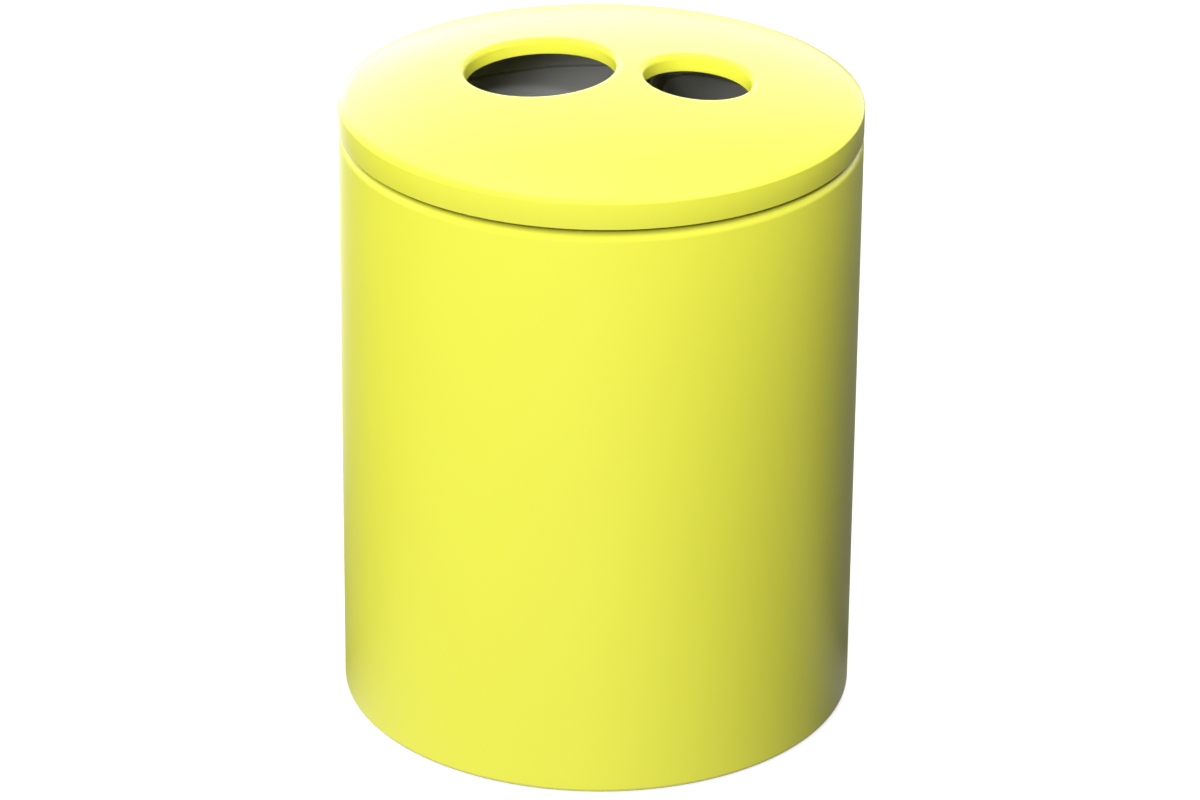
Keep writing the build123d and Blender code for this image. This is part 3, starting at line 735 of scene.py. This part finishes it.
# %% Crown, lips and collars
openings = ((-72.5, 87.5), (112.0, 62.5))
opening_lip = 6
collar_depth = 21.5
crown_rows = 16
lip_rows = 8
for (hole_x, hole_radius), side in zip(openings, (-1, 1)):
    edge = crown_boundary(side)
    angles = [atan2(p.y, p.x - hole_x) for p in edge]
    roll_reach = hole_radius + opening_lip
    roll_sphere = crown_radius - opening_lip
    roll_height = sqrt(roll_sphere**2 - roll_reach**2)
    roll_start = asin(roll_reach / roll_sphere)
    outwards = crown_radius / roll_sphere
    near = circle_round_axis(hole_x, angles, roll_reach * outwards, roll_height * outwards)
    ring = ring_of(lid, [(p.x, p.y, crown_z(p.length)) for p in edge])
    for row in range(1, crown_rows + 1):
        places = [p.lerp(q.xy, row / crown_rows) for p, q in zip(edge, near)]
        ring = extrude_ring(lid, ring, [(p.x, p.y, crown_z(p.length)) for p in places])
    for row in range(1, lip_rows + 1):
        bend = roll_start - (roll_start + pi / 2) * row / lip_rows
        reach, height = roll_reach + opening_lip * sin(bend), roll_height + opening_lip * cos(bend)
        ring = extrude_ring(lid, ring, circle_round_axis(hole_x, angles, reach, height))
    collar_end = crown_radius - collar_depth
    for height in ((roll_height + collar_end) / 2, collar_end):
        ring = extrude_ring(lid, ring, circle_round_axis(hole_x, angles, hole_radius, height))
    print("collar of radius", hole_radius, "is", round(roll_height - collar_end, 1), "straight below its lip")

bmesh.ops.remove_doubles(lid, verts=lid.verts, dist=0.01 * mm)
print("lid surface", len(lid.faces), "faces, open edges", sum(e.is_boundary for e in lid.edges))

# %% [markdown]
# The surface then gets the sheet's 3 mm inwards, and the cut edges of skirt and collars are rounded a little,
# as they are after shearing and coating.

# %% Lid shell
bmesh.ops.recalc_face_normals(lid, faces=lid.faces)
top_face = max(lid.faces, key=lambda f: f.calc_center_median().z)
if top_face.normal.z < 0:
    bmesh.ops.reverse_faces(lid, faces=lid.faces)
bmesh.ops.solidify(lid, geom=lid.faces[:], thickness=lid_wall * mm)
bmesh.ops.recalc_face_normals(lid, faces=lid.faces)
cut_edges = [e for e in lid.edges if e.calc_face_angle(0) > radians(60)]
bmesh.ops.bevel(
    lid, geom=cut_edges, offset=cut_edge * mm, offset_type="OFFSET", segments=3, profile=0.5,
    affect="EDGES", clamp_overlap=True, material=-1,
)
lid_skin = add_piece("lid_dome_skin", lid, "lid_shell")
print("lid", len(lid_skin.data.polygons), "faces", [round(c, 4) for c in lid_skin.dimensions])

# %% [markdown]
# Inside the skirt a flat ring is welded in. Its edge is turned down into a lip that centres the lid in the
# body's mouth.

# %% Lid ring
ring_z, ring_lip_z = 726, 716
ring_inner, ring_outer, ring_wall = 281, 302, 3
ring_outline = rounded_outline([
    (ring_inner, ring_lip_z, 1.2),
    (ring_inner + ring_wall, ring_lip_z, 1.2),
    (ring_inner + ring_wall, ring_z, 0.8),
    (ring_outer, ring_z, cut_edge),
    (ring_outer, ring_z + ring_wall, cut_edge),
    (ring_inner, ring_z + ring_wall, 2.8),
])
lid_ring_skin = add_piece("lid_locating_ring", spun(ring_outline), "lid_ring")
print("lid ring", len(lid_ring_skin.data.polygons), "faces")

# %% [markdown]
# ## The liners
# Each liner is a moulded tub with the shape of a D: an arc of a circle, closed by a flat where the two liners
# meet. It tapers so that it leaves its mould and lifts out freely. Near the top the wall steps outwards
# twice, and the upper step rests on the ledge ring. The outline of the D is found from its arc and its two
# corners, so that a ring of any inset keeps the same count of points.

# %% Liner outline
rim_radius = 282
divider_x = 31.5
rim_gap = 4
corner_radius = 46


def d_ring(side, inset, z, arc_count=112, corner_count=10, flat_count=24):
    """Points of a liner's outline, drawn inwards by inset from the rim, at a height."""
    radius = rim_radius - inset
    corner = corner_radius - inset
    flat = side * divider_x + rim_gap + inset
    corner_x = flat + corner
    corner_y = sqrt((radius - corner) ** 2 - corner_x**2)
    turn_angle = atan2(corner_y, corner_x)
    points = []
    for step in range(arc_count):
        angle = turn_angle * (2 * step / arc_count - 1)
        points.append((radius * cos(angle), radius * sin(angle)))
    for step in range(corner_count):
        angle = turn_angle + (pi - turn_angle) * step / corner_count
        points.append((corner_x + corner * cos(angle), corner_y + corner * sin(angle)))
    for step in range(flat_count):
        points.append((flat, corner_y * (1 - 2 * step / flat_count)))
    for step in range(corner_count):
        angle = pi + (pi - turn_angle) * step / corner_count
        points.append((corner_x + corner * cos(angle), -corner_y + corner * sin(angle)))
    return [(side * x, y, z) for x, y in points]


print("points of the D", len(d_ring(1, 0, 0)))

# %% [markdown]
# The wall's section runs from the bottom up the outside, over the rim and down the inside. Each point is an
# inset from the rim and a height. The wall leans by a little over half a degree, as a mould needs.

# %% Liner section
liner_base, liner_rim, liner_wall = 42, 708, 4
bead_z = 653
wall_inset, step_inset = 11, 8
base_inset = wall_inset + (bead_z - liner_base) * tan(radians(0.6))
floor_inset = base_inset + 21
liner_section = rounded_outline([
    (floor_inset, liner_base, 0),
    (base_inset, liner_base, 20),
    (wall_inset, bead_z, 1.2),
    (step_inset, bead_z, 1.2),
    (step_inset, ledge_z, 1.4),
    (0, ledge_z, 2),
    (0, liner_rim, 1.9),
    (liner_wall, liner_rim, 1.9),
    (liner_wall, ledge_z + liner_wall, 1.6),
    (step_inset + liner_wall, ledge_z + liner_wall, 2.2),
    (step_inset + liner_wall, bead_z + liner_wall, 1.0),
    (wall_inset + liner_wall, bead_z + liner_wall, 1.6),
    (base_inset + liner_wall, liner_base + liner_wall, 16),
    (floor_inset, liner_base + liner_wall, 0),
], segments=5, closed=False)
print("liner section", len(liner_section), "points")

# %% [markdown]
# One ring of the D is then extruded along the section, and its two ends are closed as the bottom's outer and
# inner face. An inset keeps the wide bottoms from pulling on the shading of the rounded corner.

# %% Both liners
bottom_border = 6


def liner_mesh(side):
    """A bmesh of one liner: rings along the section, with the two bottoms closed."""
    bm = bmesh.new()
    rings = [d_ring(side, p.x, p.y) for p in liner_section]
    first = ring_of(bm, rings[0])
    ring = first
    for points in rings[1:]:
        ring = extrude_ring(bm, ring, points)
    for end in (first, ring):
        bottom = bm.faces.new(end)
        bmesh.ops.inset_region(bm, faces=[bottom], thickness=bottom_border * mm, use_even_offset=True)
    return bm


large_tub = add_piece("large_liner_tub", liner_mesh(-1), "large_liner")
small_tub = add_piece("small_liner_tub", liner_mesh(1), "small_liner")
for tub in (large_tub, small_tub):
    print(tub.name, len(tub.data.polygons), "faces", [round(c, 4) for c in tub.dimensions])

# %% [markdown]
# ## Hardware
# Rail, brackets, screws, handles, hinge, latch and feet keep the frame's geometry. A copy of each node is
# welded, its flat faces are merged, and its sharp edges get a small bevel: even a screw's edge catches a line
# of light, and without it small metal looks cut from paper. The table gives each bevel's width in millimetres.
# Wires, pins, pads and round screw heads are smooth already and get none.

# %% Refined nodes


def refined(node, bevel, limit=38):
    """A bmesh of a node's mesh, welded, with flats merged and edges sharper than limit degrees bevelled."""
    bm = bmesh.new()
    bm.from_mesh(frame["nodes"][node].data)
    bmesh.ops.remove_doubles(bm, verts=bm.verts, dist=0.005 * mm)
    bmesh.ops.dissolve_limit(bm, angle_limit=radians(0.5), verts=bm.verts, edges=bm.edges)
    bmesh.ops.recalc_face_normals(bm, faces=bm.faces)
    if bevel:
        sharp = [e for e in bm.edges if e.is_manifold and e.calc_face_angle(0) > radians(limit)]
        bmesh.ops.bevel(
            bm, geom=sharp, offset=bevel * mm, offset_type="OFFSET", segments=2, profile=0.5,
            affect="EDGES", clamp_overlap=True, material=-1,
        )
    return bm


hardware = {
    "base_plate": 0.4,
    "divider_rail": 0,
    "rail_brackets": 0.3,
    "rail_screws": 0,
    "rail_nuts": 0.25,
    "large_liner_saddles": 0.3,
    "small_liner_saddles": 0.3,
    "saddle_screws": 0.2,
    "large_end_handle": 0,
    "large_inner_handle": 0,
    "small_inner_handle": 0,
    "small_end_handle": 0,
    "lid_buffers": 0.3,
    "body_hinge_leaf": 0.2,
    "lid_hinge_leaf": 0.2,
    "body_leaf_screws": 0,
    "lid_leaf_screws": 0,
    "body_leaf_nuts": 0.2,
    "lid_leaf_nuts": 0.2,
    "hinge_pin": 0,
    "pin_clip": 0.15,
    "latch_bracket": 0.3,
    "latch_rivets": 0,
    "latch_spindle": 0.15,
    "latch_circlip": 0.15,
    "latch_cam": 0.25,
    "latch_screw": 0,
    "latch_knob": 0.3,
    "foot_nuts": 0.25,
}
for place in ("front_left", "front_right", "rear_left", "rear_right"):
    hardware[f"{place}_foot_pad"] = 0
    hardware[f"{place}_foot_stud"] = 0.2
for node, bevel in hardware.items():
    add_piece(node + "_finished", refined(node, bevel), node)
print(len(hardware), "hardware pieces")
